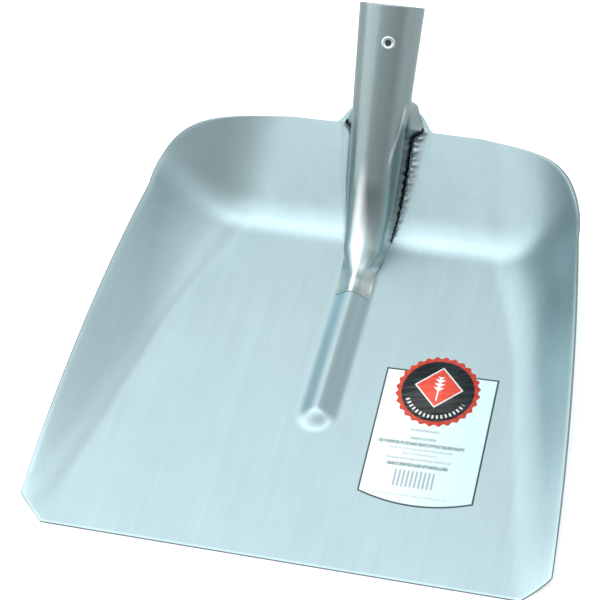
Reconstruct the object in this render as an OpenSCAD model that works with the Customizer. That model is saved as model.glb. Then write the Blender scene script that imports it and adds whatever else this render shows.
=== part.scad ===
// Grain scoop shovel head: a pressed sheet pan with a rolled, welded handle socket.
// +Z is up, +Y runs from the cutting edge to the socket mouth, X is across the pan.
// The origin is under the middle of the shovel, on the surface that the floor of the pan lies on.

/* [Pan] */
// Width of the cutting edge between its clipped corners
edge_w = 296; // [240:1:360]
// Greatest width, over the outer ends of the clipped corners
front_w = 328; // [260:1:400]
// Depth of the clipped corners, along Y
clip_d = 14; // [4:1:24]
// Width over the side edges where the rear corners begin
rear_w = 279; // [260:1:340]
// Length from the cutting edge to the rear edge, beside the socket
pan_len = 306; // [270:1:360]
// Outward bow of each side edge
side_bow = 3.5; // [0:0.5:8]
// Size of the rounded rear corners, along the rear edge
corner_x = 80; // [40:1:90]
// Size of the rounded rear corners, along the side edge
corner_y = 72; // [40:1:80]
// Sheet thickness of the pan
pan_t = 1.5; // [1:0.1:3]

/* [Pan walls] */
// Run of the back wall, from the fold at its foot to the rear edge
back_run = 55; // [44:1:80]
// Lean of the back wall: rise for each millimetre of run
back_slope = 0.8; // [0.5:0.05:1]
// Lean of the side walls at the cutting edge
side_slope_front = 0.15; // [0.05:0.01:0.4]
// Lean of the side walls at the rear corners
side_slope_rear = 1.5; // [1.1:0.05:1.6]
// How far outside the ends of the cutting edge the side folds start
fold_out = 5; // [0:0.5:10]
// How far each side fold comes in for each millimetre of length
fold_in = 0.19; // [0.15:0.01:0.25]
// Half width of the soft folds between the floor and the walls
fold_soft = 11; // [6:1:16]

/* [Rib] */
// Distance from the cutting edge to the rounded end of the pressed rib
rib_tip = 93; // [60:1:120]
// Half width of the pressed rib
rib_w = 13.5; // [9:0.5:18]
// Height of the pressed rib
rib_h = 7; // [5:0.5:10]

/* [Socket] */
// Outer radius of the socket at its mouth
mouth_r = 21; // [18:0.5:25]
// Radius lost for each millimetre down the socket
taper = 0.038; // [0:0.002:0.05]
// Sheet thickness of the socket
socket_t = 1.6; // [1.2:0.1:2.4]
// Angle of the socket above the floor
socket_angle = 43.5; // [40:0.5:48]
// Length of the round tube, from the mouth to the top of its wings
tube_len = 60; // [45:1:120]
// Length of the parallel seat for the handle, inside the mouth
seat_len = 15; // [8:1:25]
// Distance from the rear edge forward to the toe of the socket, on the rib
saddle_l = 108; // [101:1:130]
// Bend radius of the socket where it runs on to the floor
bend_r = 90; // [30:1:92]
// How far the feet of the saddle spread outside the tube
foot_spread = 3; // [0.5:0.5:6]
// How far the wings flare beside the rear edge
wing_flare = 5.5; // [3:0.5:12]

/* [Nail eyelet] */
// Distance from the mouth to the nail hole
nail_s = 24; // [18:1:40]
// Angle of the nail hole round the tube, from its front line
nail_turn = 12; // [0:1:20]
// Radius of the hole through the eyelet
nail_r = 1.9; // [1.5:0.1:2.5]
// Outer radius of the eyelet's flange
flange_r = 4.5; // [3.8:0.1:5.5]

/* [Label and seal] */
// Width of the paper label
label_w = 71; // [40:1:76]
// Height of the paper label, without its rounded lower edge
label_h = 92; // [50:1:100]
// Drop of the label's rounded lower edge
label_drop = 6.5; // [2:0.5:12]
// Radius of the round seal
seal_r = 25.6; // [15:0.2:28]
// Thickness of the paper
paper_t = 0.15; // [0.1:0.05:0.3]

/* [Hidden] */

// Side edge, rear edge and rounded corner of the pan, seen from above
side_run = pan_len - corner_y;              // where each side edge ends
rear_x = rear_w / 2 - corner_x;             // where each rounded corner ends
tongue_w = 21;                              // half width of the tongue under the socket
tongue_l = 9;                               // how far the tongue passes the rear edge
tongue_fade = 12;                           // width over which the tongue runs out
rear_bow = 1;                               // bow of the rear edge
fold_y = pan_len - back_run;                // the fold at the foot of the back wall
toe_y = pan_len - saddle_l;
side_ref = pan_len - 66;                    // where the side wall has its rear lean
side_curve = 0.51;                          // how early the side walls steepen
corner_blend = 1.08;                        // how the two walls join in a rear corner
side_soft = 0.9 * fold_soft;                // half width of the side folds on the floor
corner_soft = 20;                           // and how much more of it they have in the rear corners
corner_from = pan_len - 156;                // from here
corner_to = pan_len - 26;                   // to here
rib_end = toe_y + 14;                       // under the socket the rib starts to fade here
rib_fade = 26;                              // over this length

// Socket axis: the tube bears on the end of the tongue, with this much air between them
seat_gap = 0.3;
axis_c = cos(socket_angle);
axis_s = sin(socket_angle);
seat_y = pan_len + tongue_l;
bear_s = tube_len + 6;                      // distance from the mouth to the bearing point
wing_end = 4;                               // the wings go in again over this length, past the rear edge
bear_r = mouth_r - taper * bear_s;
edge_s = bear_s + tongue_l / axis_c;        // the feet of the socket reach the rear edge here
spring_h = 1.5;                             // the springing line runs this high over the floor
wall_n = [-sin(atan(back_slope)), cos(atan(back_slope))];
mouth_y = seat_y + (bear_r + seat_gap) * wall_n[0] + bear_s * axis_c;
mouth_z = pan_z(0, seat_y) + (bear_r + seat_gap) * wall_n[1] + bear_s * axis_s;
rise = mouth_z - spring_h;
// the bend is no longer than the floor in front of it has room for
bend_fit = min(bend_r, (mouth_y - rise * axis_c / axis_s - toe_y) / tan(socket_angle / 2));
bend_run = bend_fit * tan(socket_angle / 2);
bend_s = rise / axis_s - bend_run;          // the straight part ends here
bend_end = bend_s + bend_fit * socket_angle * PI / 180;
toe_s = bend_end + mouth_y - rise * axis_c / axis_s - bend_run - toe_y;

bent_from = bend_s - 12;                    // the section starts to change to its toe here
bent_to = toe_s - 6;                        // and ends here
seam_a = 3.5;                               // half of the seam's angle, at the back of the tube
open_from = tube_len - 6;                   // the tube starts to open here
open_to = tube_len + 3;                     // and has become a saddle here
toe_t = 0.4;                                // the toe is ground this thin
toe_grind = 12;                             // over this length
toe_gap = 0.1;                              // air between the toe and the rib
toe_w = 0.85 * rib_w;
hug_l = 34;                                 // the end of the saddle takes the rib's shape over this length
seat_step = 0.35;                           // the bored seat is this much tighter than the tube behind it
seat_stock = 0.6;                           // stock inside the mouth that the seat is bored from
seat_r = mouth_r - socket_t - taper * seat_len - seat_step;

// Whole shovel, for the origin
total_y = mouth_y + mouth_r * axis_s;
arc_n = 16;                                 // facets over the top of the socket
leg_n = 8;                                  // facets down each leg
leg_step = 0.7;                             // share of the gap that each try at a leg takes up

// The label lies on the floor, beside the start of the side fold
label_y = 103.5;
label_gap = 7.7;                            // floor left between its upper corner and the fold
label_x = fold_x(label_y + label_h / 2) - side_soft - label_gap - label_w / 2;
label_turn = 1.5;                           // the label is stuck on slightly crooked
// The seal is stuck over the label's upper edge
seal_x = label_x - 1.5;
seal_y = label_y + label_h / 2 - 13.8;
seal_teeth = 28;
tooth_h = 0.8;
tooth_n = 6;                                // points to each tooth

steel = [0.72, 0.80, 0.82];
dark_steel = [0.50, 0.57, 0.58];

// ---- Helpers

// n + 1 values from a to b
function spread(a, b, n) = [for (i = [0:n]) a + (b - a) * i / n];
function mix(a, b, t) = a + (b - a) * t;
function reverse(list) = [for (i = [len(list) - 1:-1:0]) list[i]];
function ease(t) = let (c = min(1, max(0, t))) c * c * (3 - 2 * c);

// Puts a piece drawn from the middle of the cutting edge, on top of the floor, into the part's frame
module place() { translate([0, -total_y / 2, pan_t]) children(); }

// Skin over equal rings of points, with both ends closed by fans from ring to ring
module skin(rings) {
    m = len(rings[0]);
    n = len(rings);
    polyhedron(
        points = [for (r = rings) each r],
        faces = concat(
            [for (i = [0:n - 2], j = [0:m - 1]) let (k = (j + 1) % m)
                each [[i * m + j, (i + 1) * m + k, i * m + k], [i * m + j, (i + 1) * m + j, (i + 1) * m + k]]],
            // each end is a strip between its first half and its second half
            [for (j = [0:m / 2 - 2]) each [[j, j + 1, m - 2 - j], [j, m - 2 - j, m - 1 - j]]],
            [for (j = [0:m / 2 - 2]) let (o = (n - 1) * m)
                each [[o + j, o + m - 2 - j, o + j + 1], [o + j, o + m - 1 - j, o + m - 2 - j]]]),
        convexity = 10);
}

// ---- Shape of the pan

// A straight rise that starts softly within +-h of zero
function fold(d, h) = d <= -h ? 0 : d >= h ? d : (d + h) * (d + h) / (4 * h);
function side_slope(y) =
    side_slope_front + (side_slope_rear - side_slope_front) * pow(max(y, 0) / side_ref, side_curve);
function fold_x(y) = edge_w / 2 + fold_out - fold_in * y;
function side_z(x, y) = side_slope(y) *
    fold(abs(x) - fold_x(y), side_soft + corner_soft * ease((y - corner_from) / (corner_to - corner_from)));
function back_z(y) = back_slope * fold(y - fold_y, fold_soft);
// Height of the pan's upper face without the rib
function pan_z(x, y) =
    pow(pow(side_z(x, y), corner_blend) + pow(back_z(y), corner_blend), 1 / corner_blend);

// Height of the pressed rib: a rounded ridge with a round end, fading out under the socket
function rib_across(u) = rib_h * (0.5 + 0.5 * cos(180 * min(1, u)));
function rib_z(x, y) =
    rib_across(norm([x, min(0, y - rib_tip - rib_w)]) / rib_w) * (1 - ease((y - rib_end) / rib_fade));
function top_z(x, y) = pan_z(x, y) + rib_z(x, y);
function top_normal(x, y) =
    let (e = 0.5,
         a = (top_z(x + e, y) - top_z(x - e, y)) / (2 * e),
         b = (top_z(x, y + e) - top_z(x, y - e)) / (2 * e))
    [-a, -b, 1] / norm([-a, -b, 1]);

// Half width of the pan at y, on the straight part of the side edge
function side_x(y) = let (t = (y - clip_d) / (side_run - clip_d))
    y < clip_d ? mix(edge_w / 2, front_w / 2, y / clip_d)
               : mix(front_w / 2, rear_w / 2, t) + 4 * side_bow * t * (1 - t);
// Rounded rear corner, t = 0 on the side edge and 1 on the rear edge
function corner_pt(t) =
    let (w = sqrt(0.5), a = (1 - t) * (1 - t), b = 2 * w * t * (1 - t), c = t * t)
    (a * [rear_w / 2, side_run] + b * [rear_w / 2 - rear_bow, pan_len - rear_bow] + c * [rear_x, pan_len - rear_bow])
    / (a + b + c);
// How far the rear edge passes pan_len beside and under the socket
function tongue(x) = tongue_l * (1 - ease((abs(x) - tongue_w) / tongue_fade));

// Rows of points across the pan: closer together where the rib starts
side_rows = concat(
    [0],
    spread(clip_d, rib_tip - rib_w / 3, 4),
    spread(rib_tip, rib_tip + rib_w, 5),
    spread(rib_tip + 2 * rib_w, rib_end, 4),
    spread(rib_end + rib_fade / 3, side_run - rib_w / 4, 4));
corner_n = 12;
rows = concat(
    [for (y = side_rows) [side_x(y), y]],
    [for (t = spread(0, 1, corner_n)) corner_pt(t)]);
wall_cols = 10;
tongue_cols = 6;
rib_cols = 10;
tongue_end = tongue_w + tongue_fade;
// Points of a row stand at the same x over the rib and the tongue in every row, then spread to the side edges
function half_row(x_side) = concat(
    [for (x = spread(rib_w, tongue_end, tongue_cols)) x],
    [for (i = [1:wall_cols]) mix(tongue_end, x_side, i / wall_cols)]);
function row_x(x_side) = concat(
    reverse(-half_row(x_side)),
    [for (i = [1:rib_cols - 1]) (2 * i / rib_cols - 1) * rib_w],
    half_row(x_side));
function row_pts(r) =
    [for (x = row_x(r[0]))
        let (y = r[1] + ease((r[1] - side_run) / corner_y) * (tongue(x) + rear_bow * (1 - abs(x) / rear_w)))
        [x, y, top_z(x, y)]];

module blade() {
    tops = [for (r = rows) row_pts(r)];
    unders = [for (r = tops) [for (p = r) p - pan_t * top_normal(p[0], p[1])]];
    color(steel) place()
        skin([for (i = [0:len(rows) - 1]) concat(reverse(unders[i]), tops[i])]);
}

// ---- Shape of the socket

// Springing line of the socket at distance s from the mouth: [y, z, turn from the floor]
function spine(s) =
    s <= bend_s ? [mouth_y - s * axis_c, mouth_z - s * axis_s, socket_angle]
    : s >= bend_end ? [toe_y + toe_s - s, spring_h, 0]
    : let (a = (bend_end - s) / bend_fit * 180 / PI)
      [toe_y + toe_s - bend_end + bend_fit * sin(a), spring_h + bend_fit * (1 - cos(a)), a];
function bent(s) = ease((s - bent_from) / (bent_to - bent_from));
function tube_r(s) = mouth_r - taper * min(s, bend_s);
function half_w(s) = mix(tube_r(s), toe_w, bent(s));
function crest_h(s) = mix(tube_r(s), rib_h + toe_gap + wall_t(s) - spring_h, bent(s));
function wall_t(s) = mix(socket_t, toe_t, ease((s - toe_s + toe_grind) / toe_grind));
function opened(s) = ease((s - open_from) / (open_to - open_from));
// The wings come out evenly from the tube to the rear edge
function wing(s) = s < edge_s ? max(0, (s - tube_len) / (edge_s - tube_len)) : exp(-pow((s - edge_s) / wing_end, 2));
function foot_x(s) = half_w(s) + wing_flare * wing(s) + foot_spread * (s < edge_s ? wing(s) : 1 - bent(s));

// A point of the section at s, x across and n up from the springing line
function at(s, x, n) = let (p = spine(s)) [x, p[0] - n * sin(p[2]), p[1] + n * cos(p[2])];
// Length of a leg that ends on the pan, at x across
function leg(s, x, guess = 8, tries = 9) =
    tries == 0 ? guess
    : let (p = at(s, x, -guess)) leg(s, x, max(0, guess + leg_step * (p[2] - top_z(x, p[1]))), tries - 1);

// Half of the toe's section, q from 0 on its crest to 1 at its foot: t over its underside, which hugs the rib
function toe_pt(q, t) = [q * toe_w, rib_across(q * toe_w / rib_w) + toe_gap + t - spring_h];
// One side of the section, from the crest to the foot, moved inwards by off
function half_section(s, off) =
    let (w = half_w(s) - off, h = crest_h(s) - off, f = foot_x(s) - off, d = leg(s, f), o = opened(s),
         k = ease((s - toe_s + hug_l) / (hug_l - toe_grind)), t = wall_t(s) - off)
    concat(
        [for (i = [0:arc_n / 2]) let (a = 180 * i / arc_n)
            mix([w * sin(a), h * cos(a)], toe_pt(i / arc_n, t), k)],
        [for (i = [1:leg_n])
            let (q = i / leg_n, a = 90 + q * (90 - seam_a),
                 p = mix([w * sin(a), w * cos(a)], [mix(w, f, pow(q, 2)), -q * d], o))
            mix(p, toe_pt((1 + q) / 2, t), k)]);
function section(s, off) =
    let (h = half_section(s, off), n = len(h))
    concat([for (i = [n - 1:-1:1]) at(s, -h[i][0], h[i][1])], [for (i = [0:n - 1]) at(s, h[i][0], h[i][1])]);
// The mouth has extra stock inside, which the parallel seat is bored from
function inset(s) = s <= seat_len ? tube_r(s) - seat_r + seat_stock : wall_t(s);

// Sections from the mouth to the toe: closer together where the tube opens and where it bends
stations = concat(
    [0, seat_len, seat_len + seat_step],
    spread(open_from, open_to, 6),
    spread(mix(open_to, edge_s, 0.3), edge_s, 3),
    spread(edge_s + wing_end / 2, edge_s + 2 * wing_end, 3),
    spread(edge_s + 4 * wing_end, bend_s - wing_end, 4),
    spread(bend_s, toe_s - toe_grind, 10),
    spread(toe_s - 0.6 * toe_grind, toe_s, 2));

// Turns a piece drawn along +Z into the nail hole's place, with z = 0 on the springing line
module at_nail() {
    p = spine(nail_s);
    translate([0, p[0], p[1]])
        rotate([socket_angle, 0, 0])
            rotate([0, nail_turn, 0]) children();
}

module socket() {
    color(dark_steel) place() difference() {
        skin([for (s = reverse(stations)) concat(section(s, 0), reverse(section(s, inset(s))))]);
        translate([0, mouth_y, mouth_z]) rotate([socket_angle + 90, 0, 0])
            translate([0, 0, -1]) cylinder(h = seat_len + 3, r = seat_r, $fn = 96);
        at_nail() translate([0, 0, mouth_r / 2]) cylinder(h = mouth_r, r = barrel_r, $fn = 48);
    }
}

// ---- Welds

weld_w = 8;                                 // width of the fillets on the pan, near the rear edge
weld_h = 5;                                 // and their height on the socket
weld_end = 0.45;                            // share of both that is left at the lower end
weld_start = 0.3;                           // and at the rear edge
weld_sink = 0.15;                           // the fillets lie this deep in both sheets
weld_from = edge_s - 2;
weld_to = bend_s + 26;
weld_n = 26;
face_n = 6;                                 // facets across the face of a fillet
ripple = 0.12;                              // unevenness of a rough fillet, as a share of its size
ripple_turn = 97;                           // degrees for each millimetre of length
function weld_size(s) =
    let (t = (s - weld_from) / (weld_to - weld_from))
    mix(1, weld_end, ease(t)) * mix(weld_start, 1, ease(t * 8));
// Hollow fillet in the corner between a foot and the pan; rough makes its face uneven
function weld_ring(s, side, rough) =
    let (f = foot_x(s) - weld_sink, d = leg(s, f), k = weld_size(s) * (1 + rough * ripple * sin(s * ripple_turn)))
    concat(
        [let (p = at(s, side * f, -d)) [p[0], p[1], top_z(p[0], p[1]) - weld_sink]],
        [for (a = spread(0, 90, face_n))
            let (p = at(s, side * (f + k * weld_w * (1 - cos(a))), -d + k * weld_h * (1 - sin(a))))
            [p[0], p[1], max(p[2], top_z(p[0], p[1]) - weld_sink)]]);

module weld(side, rough) {
    rings = [for (s = spread(weld_from, weld_to, weld_n)) weld_ring(s, side, rough)];
    color(dark_steel) place() {
        if (side > 0) skin([for (r = rings) reverse(r)]);
        else skin(rings);
    }
}
module weld_left() { weld(-1, 0.2); }
module weld_right() { weld(1, 1); }

// Bead that closes the seam down the back of the tube
seam_from = 3;
seam_proud = 0.4;
function seam_ring(s) =
    let (r = tube_r(s), i = r - socket_t)
    [for (q = [[seam_a, i], [seam_a, r], [seam_a / 2, r + seam_proud],
               [-seam_a / 2, r + seam_proud], [-seam_a, r], [-seam_a, i]])
        at(s, q[1] * sin(180 - q[0]), q[1] * cos(180 - q[0]))];
module seam_weld() {
    color(dark_steel) place()
        skin([for (s = [open_from, seam_from]) seam_ring(s)]);
}

// ---- Nail eyelet

eyelet_t = 0.7;                             // wall of the eyelet's barrel
eyelet_in = 0.6;                            // how far the barrel passes the inside of the tube
eyelet_gap = 0.05;                          // air between the flange and the tube
flange_rim = 0.35;
flange_h = 1.2;
dish_h = 0.5;                               // height of the hole's edge, below the top of the flange
barrel_r = nail_r + eyelet_t;
module nail_eyelet() {
    color([0.86, 0.89, 0.9]) place() at_nail() translate([0, 0, tube_r(nail_s)])
        rotate_extrude($fn = 96)
            polygon([[nail_r, -socket_t - eyelet_in], [barrel_r, -socket_t - eyelet_in], [barrel_r, eyelet_gap],
                     [flange_r, eyelet_gap], [flange_r, flange_rim], [flange_r - eyelet_in, flange_h - 0.2],
                     [flange_r - 2 * eyelet_t, flange_h], [nail_r, dish_h]]);
}

// ---- Label and seal

module label_outline() {
    // circle through both lower corners that drops label_drop below them
    r = (label_w * label_w / 4 + label_drop * label_drop) / (2 * label_drop);
    translate([label_x, label_y]) rotate(label_turn) {
        square([label_w, label_h], center = true);
        intersection() {
            translate([0, -label_h / 2 - label_drop + r]) circle(r, $fn = 120);
            translate([-label_w / 2, -label_h / 2 - label_drop]) square([label_w, label_drop + 1]);
        }
    }
}
module label() {
    color([0.93, 0.97, 0.98]) place() linear_extrude(paper_t) label_outline();
}
module seal_sticker() {
    color([0.85, 0.25, 0.2]) place() difference() {
        translate([seal_x, seal_y]) linear_extrude(2 * paper_t)
            polygon([for (i = [0:seal_teeth * tooth_n - 1]) let (a = i * 360 / (seal_teeth * tooth_n))
                (seal_r + tooth_h * cos(a * seal_teeth)) * [cos(a), sin(a)]]);
        translate([0, 0, -1]) linear_extrude(paper_t + 1) label_outline();
    }
}

blade();
socket();
weld_left();
weld_right();
seam_weld();
nail_eyelet();
label();
seal_sticker();
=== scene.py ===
import math

import bmesh
import bpy
from mathutils import Matrix, Vector, noise


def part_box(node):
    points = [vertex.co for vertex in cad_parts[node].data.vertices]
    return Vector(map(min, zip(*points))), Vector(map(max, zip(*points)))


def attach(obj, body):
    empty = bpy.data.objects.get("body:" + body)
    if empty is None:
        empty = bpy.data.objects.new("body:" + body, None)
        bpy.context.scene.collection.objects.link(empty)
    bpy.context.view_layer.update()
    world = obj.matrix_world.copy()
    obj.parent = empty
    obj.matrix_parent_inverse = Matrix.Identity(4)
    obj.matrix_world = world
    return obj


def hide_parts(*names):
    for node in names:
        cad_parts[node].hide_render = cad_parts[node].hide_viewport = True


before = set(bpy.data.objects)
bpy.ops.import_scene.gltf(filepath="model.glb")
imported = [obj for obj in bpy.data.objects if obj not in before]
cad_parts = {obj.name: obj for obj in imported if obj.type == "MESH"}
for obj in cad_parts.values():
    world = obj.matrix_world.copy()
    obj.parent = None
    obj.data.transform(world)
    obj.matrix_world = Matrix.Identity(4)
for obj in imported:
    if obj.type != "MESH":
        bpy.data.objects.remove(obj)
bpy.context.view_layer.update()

# ---------------------------------------------------------------- sizes, in millimetres
# A point of the shovel is (x, y, z): x across the pan, y from the cutting edge, z above the floor's top.

EDGE_W, FRONT_W, REAR_W = 296.0, 327.8, 279.0      # cutting edge, over the clipped corners, at the rear
CLIP_D, PAN_LEN, SIDE_BOW = 14.0, 306.0, 3.5
CORNER_X, CORNER_Y = 80.0, 72.0                    # rounded rear corners
PAN_T = 1.5
FOLD_Y, BACK_SLOPE = 251.0, 0.8
SIDE_SLOPE_FRONT, SIDE_SLOPE_REAR = 0.15, 1.5
FOLD_OUT, FOLD_IN, FOLD_SOFT = 5.0, 0.19, 11.0
TONGUE_W, TONGUE_L, TONGUE_FADE = 21.0, 9.0, 12.0
SIDE_REF, SIDE_CURVE, CORNER_BLEND, CORNER_SOFT = 240.0, 0.51, 1.08, 20.0
RIB_TIP, RIB_W, RIB_H = 93.0, 13.5, 7.0
SIDE_RUN = PAN_LEN - CORNER_Y
SIDE_SOFT = FOLD_SOFT * 0.9
CORNER_FROM, CORNER_RUN = PAN_LEN - 156, 130       # the side folds grow softer along this stretch

MOUTH_R, TAPER, SOCKET_T = 21.0, 0.038, 1.6
ANGLE = math.radians(43.5)
TUBE_LEN, TOE_Y, BEND_R = 60.0, 198.0, 90.0
FOOT_SPREAD, WING_FLARE, WING_END = 3.0, 5.5, 4.0
SEAM_A = math.radians(3.5)
WELD_W, WELD_H, WELD_END, WELD_START = 8.0, 5.0, 0.45, 0.3
SPRING_H, SEAT_GAP, TOE_GAP, TOE_T, TOE_GRIND = 1.5, 0.3, 0.1, 0.4, 12.0
TOE_W = 0.85 * RIB_W
RIB_PAST_TOE, RIB_FADE = 14, 26                    # the rib runs out under the saddle
HUG_L = 34.0                                       # the end of the saddle takes the rib's shape

NAIL_S, NAIL_TURN, NAIL_R = 24.0, math.radians(12), 1.9
LABEL_X, LABEL_Y, LABEL_TURN = 71.5, 103.5, math.radians(1.5)
LABEL_W, LABEL_H, LABEL_DROP, PAPER_T = 71.0, 92.0, 6.5, 0.15
SEAL_X, SEAL_Y, SEAL_R, SEAL_TEETH, TOOTH_H = 70.0, 135.7, 25.6, 28, 0.8

EDGE_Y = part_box("blade")[0].y                      # where the cutting edge lies in the frame, in metres


def to_frame(x, y, z):
    return Vector((x / 1000, EDGE_Y + y / 1000, (z + PAN_T) / 1000))


def mix(a, b, t):
    return a + (b - a) * t


def ease(t):
    t = min(1.0, max(0.0, t))
    return t * t * (3 - 2 * t)


# ---------------------------------------------------------------- shape of the pan

def fold(d, h):
    """A straight rise that starts softly within +-h of zero."""
    if d <= -h:
        return 0.0
    return d if d >= h else (d + h) ** 2 / (4 * h)


def side_slope(y):
    return mix(SIDE_SLOPE_FRONT, SIDE_SLOPE_REAR, (max(y, 0) / SIDE_REF) ** SIDE_CURVE)


def pan_z(x, y):
    soft = SIDE_SOFT + CORNER_SOFT * ease((y - CORNER_FROM) / CORNER_RUN)
    side = side_slope(y) * fold(abs(x) - (EDGE_W / 2 + FOLD_OUT - FOLD_IN * y), soft)
    back = BACK_SLOPE * fold(y - FOLD_Y, FOLD_SOFT)
    return (side ** CORNER_BLEND + back ** CORNER_BLEND) ** (1 / CORNER_BLEND)


def rib_across(u):
    return RIB_H * (0.5 + 0.5 * math.cos(math.pi * min(1.0, u)))


def rib_z(x, y):
    from_ridge = math.hypot(x, min(0.0, y - RIB_TIP - RIB_W))
    return rib_across(from_ridge / RIB_W) * (1 - ease((y - TOE_Y - RIB_PAST_TOE) / RIB_FADE))


def top_z(x, y):
    return pan_z(x, y) + rib_z(x, y)


def outline(v):
    """Half width and y of the pan's edge, v from 0 at the cutting edge to 1 at the rear edge."""
    corner_from = 0.8
    if v < corner_from:
        y = SIDE_RUN * v / corner_from
        t = (y - CLIP_D) / (SIDE_RUN - CLIP_D)
        if y < CLIP_D:
            return mix(EDGE_W / 2, FRONT_W / 2, y / CLIP_D), y
        return mix(FRONT_W / 2, REAR_W / 2, t) + 4 * SIDE_BOW * t * (1 - t), y
    t = (v - corner_from) / (1 - corner_from)
    w = math.sqrt(0.5)
    a, b, c = (1 - t) ** 2, 2 * w * t * (1 - t), t * t
    x = a * REAR_W / 2 + b * (REAR_W / 2 - 1) + c * (REAR_W / 2 - CORNER_X)
    y = a * SIDE_RUN + (b + c) * (PAN_LEN - 1)
    return x / (a + b + c), y / (a + b + c)


def pan_point(u, v):
    """u runs from -1 to 1 across the pan, v from 0 to 1 along it; rows bunch over the rib."""
    half, y = outline(v)
    inner, inner_end = 40.0, 0.38
    x = inner * abs(u) / inner_end
    if abs(u) > inner_end:
        x = mix(inner, half, (abs(u) - inner_end) / (1 - inner_end))
    x = math.copysign(x, u)
    tongue = TONGUE_L * (1 - ease((abs(x) - TONGUE_W) / TONGUE_FADE))
    y += ease((y - SIDE_RUN) / CORNER_Y) * (tongue + 1 - abs(x) / REAR_W)
    return x, y, top_z(x, y)


# ---------------------------------------------------------------- shape of the socket

COS_A, SIN_A = math.cos(ANGLE), math.sin(ANGLE)
WALL_A = math.atan(BACK_SLOPE)
BEAR_S = TUBE_LEN + 6
BEAR_R = MOUTH_R - TAPER * BEAR_S + SEAT_GAP
EDGE_S = BEAR_S + TONGUE_L / COS_A
MOUTH_Y = PAN_LEN + TONGUE_L - BEAR_R * math.sin(WALL_A) + BEAR_S * COS_A
MOUTH_Z = pan_z(0, PAN_LEN + TONGUE_L) + BEAR_R * math.cos(WALL_A) + BEAR_S * SIN_A
RISE = MOUTH_Z - SPRING_H
BEND_RUN = BEND_R * math.tan(ANGLE / 2)
BEND_S = RISE / SIN_A - BEND_RUN
BEND_END = BEND_S + BEND_R * ANGLE
TOE_S = BEND_END + MOUTH_Y - RISE * COS_A / SIN_A - BEND_RUN - TOE_Y
OPEN_FROM, OPEN_TO = TUBE_LEN - 6, TUBE_LEN + 3


def spine(s):
    """Springing line of the socket at s from the mouth: y, z and turn from the floor."""
    if s <= BEND_S:
        return MOUTH_Y - s * COS_A, MOUTH_Z - s * SIN_A, ANGLE
    if s >= BEND_END:
        return TOE_Y + TOE_S - s, SPRING_H, 0.0
    a = (BEND_END - s) / BEND_R
    return TOE_Y + TOE_S - BEND_END + BEND_R * math.sin(a), SPRING_H + BEND_R * (1 - math.cos(a)), a


def bent(s):
    return ease((s - BEND_S + 12) / (TOE_S - BEND_S + 6))


def tube_r(s):
    return MOUTH_R - TAPER * min(s, BEND_S)


def half_w(s):
    return mix(tube_r(s), TOE_W, bent(s))


def wall_t(s):
    return mix(SOCKET_T, TOE_T, ease((s - TOE_S + TOE_GRIND) / TOE_GRIND))


def crest_h(s):
    return mix(tube_r(s), RIB_H + TOE_GAP + wall_t(s) - SPRING_H, bent(s))


def foot_x(s):
    """Half width at the foot: the wings come out evenly to the rear edge, then fade."""
    if s < EDGE_S:
        wing = max(0, (s - TUBE_LEN) / (EDGE_S - TUBE_LEN))
        return half_w(s) + WING_FLARE * wing + FOOT_SPREAD * wing
    wing = math.exp(-((s - EDGE_S) / WING_END) ** 2)
    return half_w(s) + WING_FLARE * wing + FOOT_SPREAD * (1 - bent(s))


def at(s, x, n):
    """The point x across and n out from the springing line, at s from the mouth."""
    y, z, a = spine(s)
    return x, y - n * math.sin(a), z + n * math.cos(a)


def leg(s, x):
    """Length of a leg that ends on the pan."""
    d = 8.0
    for _ in range(12):
        p = at(s, x, -d)
        d = max(0.0, d + 0.7 * (p[2] - top_z(x, p[1])))
    return d


def socket_point(c, s):
    """c runs from 0 on the crest to 1 (right foot) or -1 (left foot)."""
    side, q = (1 if c >= 0 else -1), abs(c)
    w, f, o = half_w(s), foot_x(s), ease((s - OPEN_FROM) / (OPEN_TO - OPEN_FROM))
    if q <= 0.5:
        x, n = w * math.sin(math.pi * q), crest_h(s) * math.cos(math.pi * q)
    else:
        k = 2 * q - 1
        a = math.pi / 2 + k * (math.pi / 2 - SEAM_A)
        x = mix(w * math.sin(a), mix(w, f, k * k), o)
        n = mix(w * math.cos(a), -k * leg(s, f), o)
    hug = ease((s - TOE_S + HUG_L) / (HUG_L - TOE_GRIND))
    x = mix(x, q * (TOE_W), hug)
    n = mix(n, rib_across(q * (TOE_W) / RIB_W) + TOE_GAP + wall_t(s) - SPRING_H, hug)
    return at(s, side * x, n)


# ---------------------------------------------------------------- mesh helpers

def surface(name, columns, rows, shape, keep=None):
    """A grid of quads whose vertices shape(u, v) puts in place, u and v from 0 to 1, in millimetres."""
    bm = bmesh.new()
    bmesh.ops.create_grid(bm, x_segments=columns, y_segments=rows, size=0.5)
    run = bm.loops.layers.uv.new("run")
    for face in bm.faces:
        for loop in face.loops:
            loop[run].uv = (loop.vert.co.x + 0.5, loop.vert.co.y + 0.5)
    for vert in bm.verts:
        vert.co = to_frame(*shape(vert.co.x + 0.5, vert.co.y + 0.5))
    if keep:
        lost = [f for f in bm.faces if not keep(f.calc_center_median())]
        bmesh.ops.delete(bm, geom=lost, context="FACES")
    return finished(name, bm)


def finished(name, bm, smooth=True):
    """Turns a bmesh into an object linked to the scene."""
    mesh = bpy.data.meshes.new(name)
    bm.normal_update()
    bm.to_mesh(mesh)
    bm.free()
    for polygon in mesh.polygons:
        polygon.use_smooth = smooth
    obj = bpy.data.objects.new(name, mesh)
    bpy.context.scene.collection.objects.link(obj)
    return obj


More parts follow.
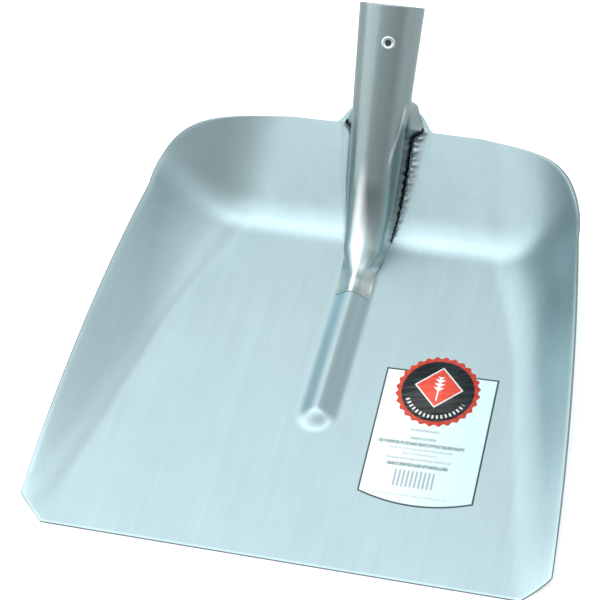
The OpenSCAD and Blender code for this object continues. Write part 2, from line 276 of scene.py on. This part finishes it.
def closed_tube(name, rings, around, shape):
    """A closed bar: shape(a, t) gives a point for the angle a and the place t along it, from 0 to 1."""
    bm = bmesh.new()
    bmesh.ops.create_grid(bm, x_segments=around, y_segments=rings, size=0.5)
    for vert in bm.verts:
        vert.co = to_frame(*shape((vert.co.x + 0.5) * 2 * math.pi, vert.co.y + 0.5))
    bmesh.ops.remove_doubles(bm, verts=bm.verts, dist=1e-7)
    ends = [e for e in bm.edges if e.is_boundary]
    bmesh.ops.holes_fill(bm, edges=ends, sides=0)
    bmesh.ops.recalc_face_normals(bm, faces=bm.faces)
    return finished(name, bm)


def flip_up(obj):
    """Turns the faces of an open surface so that they look up."""
    bm = bmesh.new()
    bm.from_mesh(obj.data)
    if sum(f.normal.z * f.calc_area() for f in bm.faces) < 0:
        bmesh.ops.reverse_faces(bm, faces=bm.faces)
    bm.to_mesh(obj.data)
    bm.free()


def thicken(obj, thickness, group=None, thin_share=0.0):
    mod = obj.modifiers.new("sheet", "SOLIDIFY")
    mod.thickness = thickness / 1000
    mod.offset = -1
    mod.use_even_offset = True
    mod.use_quality_normals = True
    mod.material_offset_rim = 1
    if group:
        mod.vertex_group = group
        mod.thickness_vertex_group = thin_share
    soft = obj.modifiers.new("edges", "BEVEL")
    soft.width = 0.00025
    soft.segments = 2
    soft.limit_method = "ANGLE"
    soft.angle_limit = math.radians(50)
    soft.harden_normals = False
    return obj


# ---------------------------------------------------------------- shader helpers

class Nodes:
    """Short names for building a node tree."""

    def __init__(self, tree):
        self.tree = tree

    def add(self, kind, **values):
        node = self.tree.nodes.new(kind)
        for key, value in values.items():
            setattr(node, key, value)
        return node

    def link(self, a, b):
        self.tree.links.new(a, b)

    def put(self, socket, value):
        if isinstance(value, bpy.types.NodeSocket):
            self.link(value, socket)
        else:
            socket.default_value = value

    def math(self, op, a, b=0.0, clamp=False):
        node = self.add("ShaderNodeMath", operation=op, use_clamp=clamp)
        self.put(node.inputs[0], a)
        self.put(node.inputs[1], b)
        return node.outputs[0]

    def ramp(self, value, low, high, a=0.0, b=1.0):
        """Smooth step of a value from low to high, put out between a and b."""
        node = self.add("ShaderNodeMapRange", interpolation_type="SMOOTHSTEP")
        self.put(node.inputs["Value"], value)
        for key, x in (("From Min", low), ("From Max", high), ("To Min", a), ("To Max", b)):
            node.inputs[key].default_value = x
        return node.outputs["Result"]

    def band(self, value, centre, half, soft):
        """1 where value lies within half of centre, softly 0 outside."""
        away = self.math("ABSOLUTE", self.math("SUBTRACT", value, centre))
        return self.ramp(away, half - soft, half + soft, 1.0, 0.0)

    def noise(self, vector, scale, detail=2.0, rough=0.5):
        node = self.add("ShaderNodeTexNoise")
        self.put(node.inputs["Vector"], vector)
        node.inputs["Scale"].default_value = scale
        node.inputs["Detail"].default_value = detail
        node.inputs["Roughness"].default_value = rough
        return node.outputs["Fac"]

    def tint(self, factor, a, b, blend="MIX"):
        node = self.add("ShaderNodeMix", data_type="RGBA", blend_type=blend)
        self.put(node.inputs["Factor"], factor)
        self.put(node.inputs["A"], a)
        self.put(node.inputs["B"], b)
        return node.outputs["Result"]

    def stretched(self, vector, turn, scale):
        """The vector turned about X and stretched, so that noise on it runs along Y before the turn."""
        node = self.add("ShaderNodeMapping", vector_type="TEXTURE")
        self.put(node.inputs["Vector"], vector)
        node.inputs["Rotation"].default_value = (turn, 0, 0)
        node.inputs["Scale"].default_value = scale
        return node.outputs["Vector"]


def socket_of(group, name, kind, out=False, value=None):
    item = group.interface.new_socket(name=name, in_out="OUTPUT" if out else "INPUT", socket_type=kind)
    if value is not None:
        item.default_value = value
    return item


def grain_group():
    """Drawn-sheet grain along the vector's second axis: streaks, soft clouds and thin scratches."""
    group = bpy.data.node_groups.new("drawn grain", "ShaderNodeTree")
    socket_of(group, "Vector", "NodeSocketVector")
    for name in ("Streaks", "Clouds", "Scratches"):
        socket_of(group, name, "NodeSocketFloat", out=True)
    n = Nodes(group)
    start, end = n.add("NodeGroupInput"), n.add("NodeGroupOutput")
    vector = start.outputs["Vector"]
    fine = n.noise(n.stretched(vector, 0, (0.0011, 0.055, 0.0011)), 1.0, 3.0, 0.6)
    broad = n.noise(n.stretched(vector, 0, (0.007, 0.16, 0.007)), 1.0, 2.0)
    streaks = n.math("ADD", n.math("MULTIPLY", fine, 0.6), n.math("MULTIPLY", broad, 0.4))
    n.link(streaks, end.inputs["Streaks"])
    n.link(n.noise(vector, 26.0, 3.0, 0.55), end.inputs["Clouds"])
    lines = n.noise(n.stretched(vector, 0, (0.0016, 0.09, 0.0016)), 1.0, 1.0)
    patch = n.ramp(n.noise(vector, 14.0, 1.0), 0.45, 0.65)
    n.link(n.math("MULTIPLY", n.ramp(lines, 0.70, 0.76), patch), end.inputs["Scratches"])
    return group


GRAIN = grain_group()


def material(name, rough=0.5, metal=0.0):
    mat = bpy.data.materials.new(name)
    mat.use_nodes = True
    n = Nodes(mat.node_tree)
    shader = mat.node_tree.nodes["Principled BSDF"]
    shader.inputs["Metallic"].default_value = metal
    shader.inputs["Roughness"].default_value = rough
    return mat, n, shader


def coords(n, turn=0.0):
    vector = n.add("ShaderNodeTexCoord").outputs["Object"]
    return n.stretched(vector, turn, (1, 1, 1)) if turn else vector


def grained_steel(name, colour, shade, rough, turn=0.0, streaks=0.5, bump=0.12):
    """Satin zinc-grey steel sheet with its grain along the sheet; shade is the colour in the streaks."""
    mat, n, shader = material(name, rough, 1.0)
    vector = coords(n, turn)
    grain = n.add("ShaderNodeGroup", node_tree=GRAIN)
    n.link(vector, grain.inputs["Vector"])
    amount = n.ramp(grain.outputs["Streaks"], 0.30, 0.72, 0.0, streaks)
    base = n.tint(amount, (*colour, 1), (*shade, 1))
    cloud = n.ramp(grain.outputs["Clouds"], 0.3, 0.7, 0.0, 0.35)
    base = n.tint(cloud, base, (*[c * 0.88 for c in colour], 1))
    bright = n.math("MULTIPLY", grain.outputs["Scratches"], 0.25)
    base = n.tint(bright, base, (*[min(1, c * 1.25) for c in colour], 1))
    n.link(base, shader.inputs["Base Color"])
    uneven = n.math("MULTIPLY", grain.outputs["Streaks"], 0.16)
    uneven = n.math("ADD", uneven, n.math("MULTIPLY", grain.outputs["Clouds"], 0.10))
    n.link(n.math("ADD", uneven, rough - 0.13), shader.inputs["Roughness"])
    dent = n.add("ShaderNodeBump")
    dent.inputs["Strength"].default_value = bump
    dent.inputs["Distance"].default_value = 0.0001
    n.link(grain.outputs["Streaks"], dent.inputs["Height"])
    n.link(dent.outputs["Normal"], shader.inputs["Normal"])
    return mat, n, shader, base


def run_axes(n):
    """The grid coordinates of a surface, both from 0 to 1."""
    split = n.add("ShaderNodeSeparateXYZ")
    n.link(n.add("ShaderNodeUVMap", uv_map="run").outputs["UV"], split.inputs[0])
    return split.outputs[0], split.outputs[1]


def socket_steel():
    """Drawn steel with a painted highlight streak down the saddle, a painted highlight line along a
    crease beside it, and painted reflected light on the lower flanks.
    """
    mat, n, shader, base = grained_steel("socket steel", (0.35, 0.43, 0.44), (0.26, 0.33, 0.34),
                                         0.26, ANGLE, 0.6)
    across, along = run_axes(n)
    s = n.math("MULTIPLY", along, TOE_S)
    highlight_breakup = n.noise(n.stretched(coords(n), ANGLE, (0.002, 0.03, 0.002)), 1.0, 2.0)
    # Painted reflected light: the lower left and right flanks are lightened as if lit by the pan.
    left = n.math("MULTIPLY", n.ramp(across, 0.66, 0.80), n.ramp(s, 68.0, 90.0))
    base = n.tint(n.math("MULTIPLY", left, 0.5), base, (0.50, 0.55, 0.55, 1))
    right = n.math("MULTIPLY", n.ramp(across, 0.36, 0.24), n.ramp(s, 68.0, 96.0))
    base = n.tint(n.math("MULTIPLY", right, 0.8), base, (0.50, 0.55, 0.55, 1))
    # Painted highlight: a light streak down the saddle's crest stands in for the light on the bend, and
    # noise breaks it up.
    wide = n.ramp(s, 105.0, 150.0, 0.030, 0.060)
    away = n.math("ABSOLUTE", n.math("SUBTRACT", across, 0.535))
    streak = n.ramp(n.math("DIVIDE", away, wide), 0.2, 1.3, 0.85, 0.0)
    highlight_reach = n.math("MULTIPLY", n.ramp(s, 96.0, 128.0), n.ramp(highlight_breakup, 0.2, 0.45, 0.75, 1.0))
    streak = n.math("MULTIPLY", streak, highlight_reach)
    base = n.tint(streak, base, (0.93, 0.96, 0.96, 1))
    # Painted highlight: a thin bright line along the right flank, where the sheet has a crease.
    path = n.ramp(s, 62.0, 108.0, 0.31, 0.385)
    crease = n.ramp(n.math("ABSOLUTE", n.math("SUBTRACT", across, path)), 0.004, 0.016, 1.0, 0.0)
    ends = n.math("MULTIPLY", n.ramp(s, 60.0, 68.0), n.ramp(s, 92.0, 106.0, 1.0, 0.0))
    crease = n.math("MULTIPLY", crease, ends)
    base = n.tint(n.math("MULTIPLY", crease, 0.7), base, (0.85, 0.90, 0.90, 1))
    n.link(base, shader.inputs["Base Color"])
    return mat


def fillet_steel(name, jagged):
    """Dressed fillet: pan steel darkened by painted shade towards a dark weld line on the socket's side,
    with painted glints beside the line.
    """
    mat, n, shader, base = grained_steel(name, (0.40, 0.50, 0.53), (0.33, 0.42, 0.45), 0.34)
    across, along = run_axes(n)
    tooth = n.noise(coords(n), 420.0, 3.0, 0.7)
    shift = n.math("MULTIPLY", n.math("SUBTRACT", tooth, 0.5), jagged)
    place = n.math("ADD", across, shift)
    # Painted shade: the fillet darkens towards the socket.
    base = n.tint(n.ramp(across, 0.95, 0.15, 0.0, 0.35), base, (0.16, 0.20, 0.20, 1))
    # Dark line at the weld's edge: the joint's own dark line, and on the left fillet also painted shadow.
    line = n.math("MULTIPLY", n.ramp(place, 0.08, 0.20, 0.8, 0.0), n.ramp(along, 0.02, 0.10))
    base = n.tint(line, base, (0.12, 0.15, 0.15, 1))
    # Painted glints: bright specks beside the weld line, more of them on the rougher weld.
    glint_spots = n.ramp(tooth, 0.45, 0.6, 0.0, min(1.0, jagged))
    weld_glints = n.math("MULTIPLY", n.band(place, 0.42, 0.07, 0.05), glint_spots)
    base = n.tint(weld_glints, base, (0.62, 0.68, 0.68, 1))
    n.link(base, shader.inputs["Base Color"])
    return mat


def bead_metal(name, colour, rough):
    """Heat-marked weld metal: dark scale in the hollows, brighter on the ripples."""
    mat, n, shader = material(name, rough, 1.0)
    vector = coords(n)
    pits = n.noise(vector, 900.0, 4.0, 0.65)
    blotch = n.noise(vector, 220.0, 2.0)
    base = n.tint(n.ramp(pits, 0.4, 0.62), (*[c * 0.45 for c in colour], 1), (*colour, 1))
    base = n.tint(n.ramp(blotch, 0.45, 0.7, 0.0, 0.5), base, (0.30, 0.30, 0.26, 1))
    n.link(base, shader.inputs["Base Color"])
    n.link(n.math("ADD", n.math("MULTIPLY", pits, 0.35), rough - 0.15), shader.inputs["Roughness"])
    dent = n.add("ShaderNodeBump")
    dent.inputs["Strength"].default_value = 0.6
    dent.inputs["Distance"].default_value = 0.0003
    n.link(pits, dent.inputs["Height"])
    n.link(dent.outputs["Normal"], shader.inputs["Normal"])
    return mat


# ---------------------------------------------------------------- camera, floor and light

SIGHT_AZ, SIGHT_EL, SIGHT_ROLL = math.radians(22.4), math.radians(52.1), math.radians(-10.1)
SIGHT_DIST, SIGHT_LENS = 1.5, 140.06
SIGHT_AIM = to_frame(-32.8, 190.5, 0)


def make_camera():
    back = Vector((math.sin(SIGHT_AZ) * math.cos(SIGHT_EL),
                   -math.cos(SIGHT_AZ) * math.cos(SIGHT_EL), math.sin(SIGHT_EL)))
    right = Vector((math.cos(SIGHT_AZ), math.sin(SIGHT_AZ), 0))
    up = back.cross(right)
    c, s = math.cos(SIGHT_ROLL), math.sin(SIGHT_ROLL)
    across, above = right * c + up * s, up * c - right * s
    data = bpy.data.cameras.new("camera")
    data.lens, data.sensor_width = SIGHT_LENS, 36.0
    cam = bpy.data.objects.new("camera", data)
    place = Matrix((across, above, back)).transposed().to_4x4()
    place.translation = SIGHT_AIM + back * SIGHT_DIST
    cam.matrix_world = place
    bpy.context.scene.collection.objects.link(cam)
    bpy.context.scene.camera = cam


def make_floor():
    bm = bmesh.new()
    bmesh.ops.create_grid(bm, x_segments=1, y_segments=1, size=4.0)
    floor = finished("studio_floor", bm)
    floor.location.z = -0.0004
    mat, n, shader = material("pale floor", 0.9)
    path = n.add("ShaderNodeLightPath")
    cloud = n.noise(coords(n), 1.5, 1.0)
    pale = n.tint(cloud, (0.93, 0.94, 0.94, 1), (0.95, 0.96, 0.96, 1))
    seen = n.tint(path.outputs["Is Glossy Ray"], pale, (0.60, 0.62, 0.62, 1))
    n.link(seen, shader.inputs["Base Color"])
    shader.inputs["Emission Color"].default_value = (1, 1, 1, 1)
    n.link(n.math("MULTIPLY", path.outputs["Is Camera Ray"], 0.35), shader.inputs["Emission Strength"])
    floor.data.materials.append(mat)


def sky():
    """Soft studio: a wide bright strip overhead, pale to the rear, darker on the side of the camera."""
    world = bpy.data.worlds.new("studio")
    bpy.context.scene.world = world
    world.use_nodes = True
    n = Nodes(world.node_tree)
    shade = world.node_tree.nodes["Background"]
    way = n.add("ShaderNodeSeparateXYZ")
    n.link(n.add("ShaderNodeTexCoord").outputs["Generated"], way.inputs[0])
    x, y, z = way.outputs

    def glow(cx, cy, wide, deep, strength):
        """Soft round patch in the sky, seen from below."""
        dx = n.math("DIVIDE", n.math("SUBTRACT", x, cx), wide)
        dy = n.math("DIVIDE", n.math("SUBTRACT", y, cy), deep)
        far = n.math("ADD", n.math("MULTIPLY", dx, dx), n.math("MULTIPLY", dy, dy))
        fall = n.math("POWER", 2.718, n.math("MULTIPLY", far, -1.0))
        return n.math("MULTIPLY", n.math("MULTIPLY", fall, strength), n.ramp(z, -0.05, 0.15))

    light = n.ramp(y, -0.64, -0.20, 0.27, 0.58)
    side = n.math("MULTIPLY", n.ramp(x, -0.30, -0.75, 0.0, 0.55), n.ramp(y, -0.8, 0.3, 1.0, 0.7))
    light = n.math("ADD", light, side)
    side = n.math("MULTIPLY", n.ramp(x, 0.62, 0.92, 0.0, 0.25), n.ramp(y, -0.4, 0.2))
    light = n.math("ADD", light, side)
    for patch in ((-0.28, 0.42, 0.36, 0.28, 0.98), (-0.25, 0.0, 0.85, 0.28, 1.80),
                  (0.50, 0.02, 0.26, 0.26, 1.10), (-0.10, -0.50, 0.60, 0.22, 1.35)):
        light = n.math("ADD", light, glow(*patch))
    shade.inputs["Color"].default_value = (0.97, 1.0, 1.0, 1)
    n.link(light, shade.inputs["Strength"])


bpy.context.scene.view_settings.view_transform = "Standard"
make_camera()
make_floor()
sky()

# ---------------------------------------------------------------- steels

PAN_STEEL = grained_steel("pan steel", (0.43, 0.555, 0.59), (0.37, 0.48, 0.515), 0.33)[0]
EDGE_STEEL = grained_steel("cut edge", (0.30, 0.37, 0.39), (0.22, 0.28, 0.30), 0.45)[0]
SOCKET_STEEL = socket_steel()
RIM_STEEL = grained_steel("socket rim", (0.40, 0.48, 0.49), (0.32, 0.38, 0.39), 0.4, ANGLE)[0]
WELD_METAL = bead_metal("weld metal", (0.22, 0.26, 0.27), 0.5)
EYELET_METAL = grained_steel("bright eyelet", (0.70, 0.76, 0.77), (0.55, 0.60, 0.61), 0.25, ANGLE, 0.4)[0]


def paint(obj, *mats):
    for mat in mats:
        obj.data.materials.append(mat)


def hand_in(obj, node):
    """The piece rides on the shovel and hides the CAD node it stands for."""
    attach(obj, "root")
    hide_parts(node)


# ---------------------------------------------------------------- pan

def make_pan():
    pan = surface("pan", 150, 160, lambda u, v: pan_point(2 * u - 1, v))
    paint(pan, PAN_STEEL, EDGE_STEEL)
    thicken(pan, PAN_T)
    hand_in(pan, "blade")


# ---------------------------------------------------------------- socket

def nail_matrix():
    """Frame of the nail hole: its Z leaves the tube, its origin is on the tube's face."""
    y, z, _ = spine(NAIL_S)
    turn = Matrix.Rotation(ANGLE, 3, "X") @ Matrix.Rotation(NAIL_TURN, 3, "Y")
    place = turn.to_4x4()
    place.translation = to_frame(0, y, z) + turn @ Vector((0, 0, tube_r(NAIL_S) / 1000))
    return place


def make_socket():
    hole = nail_matrix().inverted()
    hole_r = 0.0034

    def solid_here(p):
        q = hole @ p
        return q.z < -0.01 or math.hypot(q.x, q.y) > hole_r

    socket = surface("handle_socket", 120, 170,
                     lambda u, v: socket_point(1 - 2 * u, TOE_S * v), keep=solid_here)
    thin = socket.vertex_groups.new(name="full sheet")
    for vert in socket.data.vertices:
        y = (vert.co.y - EDGE_Y) * 1000
        thin.add([vert.index], 1 - ease((TOE_Y + TOE_GRIND - y) / TOE_GRIND), "REPLACE")
    paint(socket, SOCKET_STEEL, RIM_STEEL)
    thicken(socket, SOCKET_T, "full sheet", TOE_T / SOCKET_T)
    hand_in(socket, "socket")


# ---------------------------------------------------------------- welds

def foot_fillet(name, node, side, rough):
    """Hollow fillet in the corner between a foot of the socket and the pan."""
    start, end = EDGE_S - 2, BEND_S + 26

    def shape(u, v):
        s = mix(start, end, v)
        size = mix(1, WELD_END, ease(v)) * mix(WELD_START, 1, ease(v * 8))
        wob = rough * noise.noise(Vector((s * 0.35, side * 3, u * 2.0))) * (1 - u)
        f = foot_x(s) - 0.15
        d = leg(s, f)
        a = math.pi / 2 * u
        bead = 0.35 * math.exp(-((u - 0.15) / 0.12) ** 2) * (1 + rough * math.sin(s * 3.1))
        p = at(s, side * (f + size * (1 + wob) * WELD_W * (1 - math.cos(a)) + bead),
               -d + size * (1 + wob) * WELD_H * (1 - math.sin(a)) + bead)
        return p[0], p[1], max(p[2], top_z(p[0], p[1]) - 0.05)

    fillet = surface(name, 26, 240, shape)
    flip_up(fillet)
    paint(fillet, fillet_steel(name + " steel", 0.10 + rough))
    hand_in(fillet, node)


def make_seam():
    """Bead that closes the tube down its back."""
    start, end = 3.0, OPEN_FROM + 2

    def shape(a, t):
        s = mix(start, end, t)
        r = 1.15 * (1 + 0.08 * math.sin(s * 4.2)) * math.sqrt(max(0.05, math.sin(math.pi * t)) ** 0.4)
        out = tube_r(s) - 0.75
        return at(s, 1.25 * r * math.cos(a), -out + r * math.sin(a))

    seam = closed_tube("seam_bead", 110, 16, shape)
    paint(seam, WELD_METAL)
    hand_in(seam, "seam_weld")


# ---------------------------------------------------------------- eyelet

def make_eyelet():
    """Rolled ring with a dished hole, bent to the tube's curve."""
    profile = [(NAIL_R, -2.1), (2.55, -2.1), (2.6, 0.05), (3.4, 0.05), (4.35, 0.06), (4.5, 0.25),
               (4.45, 0.5), (4.2, 0.85), (3.8, 1.08), (3.4, 1.15), (3.0, 1.08), (2.6, 0.85),
               (2.2, 0.55), (NAIL_R, 0.2)]
    bm = bmesh.new()
    verts = [bm.verts.new((r / 1000, 0, z / 1000)) for r, z in profile]
    edges = [bm.edges.new((verts[i], verts[(i + 1) % len(verts)])) for i in range(len(verts))]
    bmesh.ops.spin(bm, geom=verts + edges, cent=(0, 0, 0), axis=(0, 0, 1), angle=2 * math.pi, steps=56,
                   use_merge=True)
    radius = tube_r(NAIL_S) / 1000
    for vert in bm.verts:
        vert.co.z -= radius - math.sqrt(radius ** 2 - vert.co.x ** 2)
    bmesh.ops.recalc_face_normals(bm, faces=bm.faces)
    bmesh.ops.transform(bm, matrix=nail_matrix(), verts=bm.verts)
    eyelet = finished("nail_ring", bm)
    paint(eyelet, EYELET_METAL)
    hand_in(eyelet, "nail_eyelet")


# ---------------------------------------------------------------- label and seal

def on_label(x, y):
    """A point of the label's own plan, turned into place: x, y from the label's middle."""
    c, s = math.cos(LABEL_TURN), math.sin(LABEL_TURN)
    return LABEL_X + x * c - y * s, LABEL_Y + x * s + y * c


def off_label(x, y):
    """How far a point of the floor lies inside the label's edge."""
    c, s = math.cos(LABEL_TURN), math.sin(LABEL_TURN)
    dx, dy = x - LABEL_X, y - LABEL_Y
    a, b = dx * c + dy * s, dy * c - dx * s
    return min(LABEL_W / 2 - abs(a), LABEL_H / 2 - b)


def plan_uv(obj, points):
    """Gives the piece a UV map that holds its own flat plan, in units of 100 mm."""
    layer = obj.data.uv_layers.new(name="plan")
    for loop in obj.data.loops:
        layer.data[loop.index].uv = [c / 100 for c in points(obj.data.vertices[loop.vertex_index].co)]


def label_plan(co):
    c, s = math.cos(LABEL_TURN), math.sin(LABEL_TURN)
    dx, dy = co.x * 1000 - LABEL_X, (co.y - EDGE_Y) * 1000 - LABEL_Y
    return dx * c + dy * s, dy * c - dx * s


def plan_axes(n):
    """The plan's x and y, back in millimetres."""
    split = n.add("ShaderNodeSeparateXYZ")
    n.link(n.add("ShaderNodeUVMap", uv_map="plan").outputs["UV"], split.inputs[0])
    return n.math("MULTIPLY", split.outputs[0], 100.0), n.math("MULTIPLY", split.outputs[1], 100.0)


def label_material():
    """Coated paper with a slate border, plain grey rules and a block of even bars."""
    mat, n, shader = material("label paper", 0.3)
    x, y = plan_axes(n)
    paper = n.tint(n.ramp(x, -36.0, 30.0), (0.86, 0.93, 0.95, 1), (0.60, 0.78, 0.82, 1))
    border = 1.1
    sides = n.ramp(n.math("ABSOLUTE", x), LABEL_W / 2 - border - 0.2, LABEL_W / 2 - border + 0.2)
    top = n.ramp(y, LABEL_H / 2 - border - 0.2, LABEL_H / 2 - border + 0.2)
    bow = n.math("MULTIPLY", n.math("MULTIPLY", x, x), LABEL_DROP / (LABEL_W / 2) ** 2)
    low = n.math("SUBTRACT", y, bow)
    low_at = -LABEL_H / 2 - LABEL_DROP + border
    bottom = n.ramp(low, low_at - 0.2, low_at + 0.2, 1.0, 0.0)
    frame_mask = n.math("MAXIMUM", n.math("MAXIMUM", sides, top), bottom)
    speck = n.ramp(n.noise(n.add("ShaderNodeTexCoord").outputs["Object"], 700.0, 1.0), 0.42, 0.52)
    rules = None
    for at_y, at_x, half, thick, dark in ((2.0, -3, 9, 0.9, 0.45), (-4.0, -3, 8, 1.0, 0.6),
                                          (-8.2, -3.5, 27, 1.25, 0.75), (-12.2, -3, 20, 0.7, 0.4),
                                          (-15.6, -3, 11, 0.7, 0.4), (-19.4, -3, 20, 0.7, 0.45),
                                          (-23.6, -3, 19, 1.25, 0.8), (-45.5, -5, 24, 0.5, 0.35)):
        row = n.math("MULTIPLY", n.band(y, at_y, thick, 0.3), n.band(x, at_x, half, 0.5))
        row = n.math("MULTIPLY", row, dark)
        rules = row if rules is None else n.math("MAXIMUM", rules, row)
    rules = n.math("MULTIPLY", rules, n.math("ADD", n.math("MULTIPLY", speck, 0.45), 0.55))
    wave = n.math("SINE", n.math("MULTIPLY", x, 2 * math.pi / 2.6))
    bars = n.math("MULTIPLY", n.ramp(wave, -0.1, 0.2), n.band(x, -3.0, 13.0, 0.2))
    bars = n.math("MULTIPLY", n.math("MULTIPLY", bars, n.band(y, -33.5, 6.0, 0.3)), 0.6)
    base = n.tint(n.math("MAXIMUM", rules, bars), paper, (0.10, 0.17, 0.19, 1))
    base = n.tint(frame_mask, base, (0.045, 0.085, 0.10, 1))
    n.link(base, shader.inputs["Base Color"])
    fibre = n.noise(n.add("ShaderNodeTexCoord").outputs["Object"], 1500.0, 2.0)
    n.link(n.math("ADD", n.math("MULTIPLY", fibre, 0.15), 0.22), shader.inputs["Roughness"])
    dent = n.add("ShaderNodeBump")
    dent.inputs["Strength"].default_value = 0.05
    dent.inputs["Distance"].default_value = 0.0001
    n.link(fibre, dent.inputs["Height"])
    n.link(dent.outputs["Normal"], shader.inputs["Normal"])
    return mat


def make_label():
    def shape(u, v):
        x, y = (u - 0.5) * LABEL_W, (v - 0.5) * LABEL_H
        y -= LABEL_DROP * (1 - (2 * u - 1) ** 2) * (1 - v) ** 2
        px, py = on_label(x, y)
        return px, py, PAPER_T + pan_z(px, py)

    label = surface("paper_label", 48, 60, shape)
    plan_uv(label, label_plan)
    paint(label, label_material())
    mod = label.modifiers.new("paper", "SOLIDIFY")
    mod.thickness, mod.offset = PAPER_T * 0.9 / 1000, -1
    hand_in(label, "label")


def seal_plan(co):
    return co.x * 1000 - SEAL_X, (co.y - EDGE_Y) * 1000 - SEAL_Y


def seal_material():
    """Glossy round sticker: scalloped red ring, black disc, red lozenge with a white ear of grain."""
    mat, n, shader = material("seal print", 0.25)
    x, y = plan_axes(n)
    r = n.math("SQRT", n.math("ADD", n.math("MULTIPLY", x, x), n.math("MULTIPLY", y, y)))
    turn = n.math("ARCTAN2", y, x)
    red, black, white = (0.78, 0.07, 0.035, 1), (0.008, 0.010, 0.012, 1), (0.90, 0.92, 0.92, 1)
    teeth = n.math("SINE", n.math("MULTIPLY", turn, SEAL_TEETH))
    shade = n.ramp(teeth, -0.9, 0.9, 0.0, 0.5)
    base = n.tint(shade, red, (0.55, 0.05, 0.03, 1))
    base = n.tint(n.ramp(r, 22.4, 23.0, 1.0, 0.0), base, black)
    away = n.math("ADD", n.math("ABSOLUTE", x), n.math("ABSOLUTE", n.math("SUBTRACT", y, 3.0)))
    base = n.tint(n.ramp(away, 15.2, 15.6, 1.0, 0.0), base, white)
    base = n.tint(n.ramp(away, 14.0, 14.4, 1.0, 0.0), base, red)
    stalk = n.math("MULTIPLY", n.band(x, 0.0, 0.45, 0.15), n.band(y, 1.5, 8.5, 0.3))
    slant = n.math("SUBTRACT", y, n.math("MULTIPLY", n.math("ABSOLUTE", x), 0.9))
    saw = n.math("FRACT", n.math("DIVIDE", slant, 3.0))
    width = n.math("MULTIPLY", n.math("SUBTRACT", 1.0, saw), 3.4)
    grains = n.ramp(n.math("SUBTRACT", n.math("ABSOLUTE", x), width), -0.3, 0.3, 1.0, 0.0)
    grains = n.math("MULTIPLY", grains, n.band(y, 5.6, 5.4, 0.3))
    base = n.tint(n.math("MAXIMUM", stalk, grains), base, white)
    beat = n.ramp(n.math("SINE", n.math("MULTIPLY", turn, 44.0)), 0.0, 0.4)
    dots = n.math("MULTIPLY", n.band(r, 19.2, 1.3, 0.2), beat)
    dots = n.math("MULTIPLY", dots, n.ramp(n.math("DIVIDE", y, r), -0.45, -0.35, 1.0, 0.0))
    base = n.tint(dots, base, white)
    n.link(base, shader.inputs["Base Color"])
    fibre = n.noise(n.add("ShaderNodeTexCoord").outputs["Object"], 1200.0, 2.0)
    n.link(n.math("ADD", n.math("MULTIPLY", fibre, 0.12), 0.2), shader.inputs["Roughness"])
    return mat


def make_seal():
    bm = bmesh.new()
    bmesh.ops.create_circle(bm, cap_ends=True, radius=1.0, segments=SEAL_TEETH * 8)
    for _ in range(7):
        bmesh.ops.inset_region(bm, faces=[max(bm.faces, key=lambda f: f.calc_area())], thickness=0.115)
    for vert in bm.verts:
        share, a = vert.co.length, math.atan2(vert.co.y, vert.co.x)
        r = share * (SEAL_R + TOOTH_H * math.cos(SEAL_TEETH * a) * ease((share - 0.8) / 0.2))
        x, y = SEAL_X + r * math.cos(a), SEAL_Y + r * math.sin(a)
        lift = PAPER_T * ease(off_label(x, y) + 0.6)
        vert.co = to_frame(x, y, PAPER_T * 0.9 + lift)
    bm.normal_update()
    if sum(f.normal.z for f in bm.faces) < 0:
        bmesh.ops.reverse_faces(bm, faces=bm.faces)
    seal = finished("round_seal", bm)
    plan_uv(seal, seal_plan)
    paint(seal, seal_material())
    mod = seal.modifiers.new("sticker", "SOLIDIFY")
    mod.thickness, mod.offset = PAPER_T * 0.8 / 1000, -1
    hand_in(seal, "seal_sticker")


make_pan()
make_socket()
foot_fillet("weld_fillet_left", "weld_left", -1, 0.0)
foot_fillet("weld_fillet_right", "weld_right", 1, 0.6)
make_seam()
make_eyelet()
make_label()
make_seal()
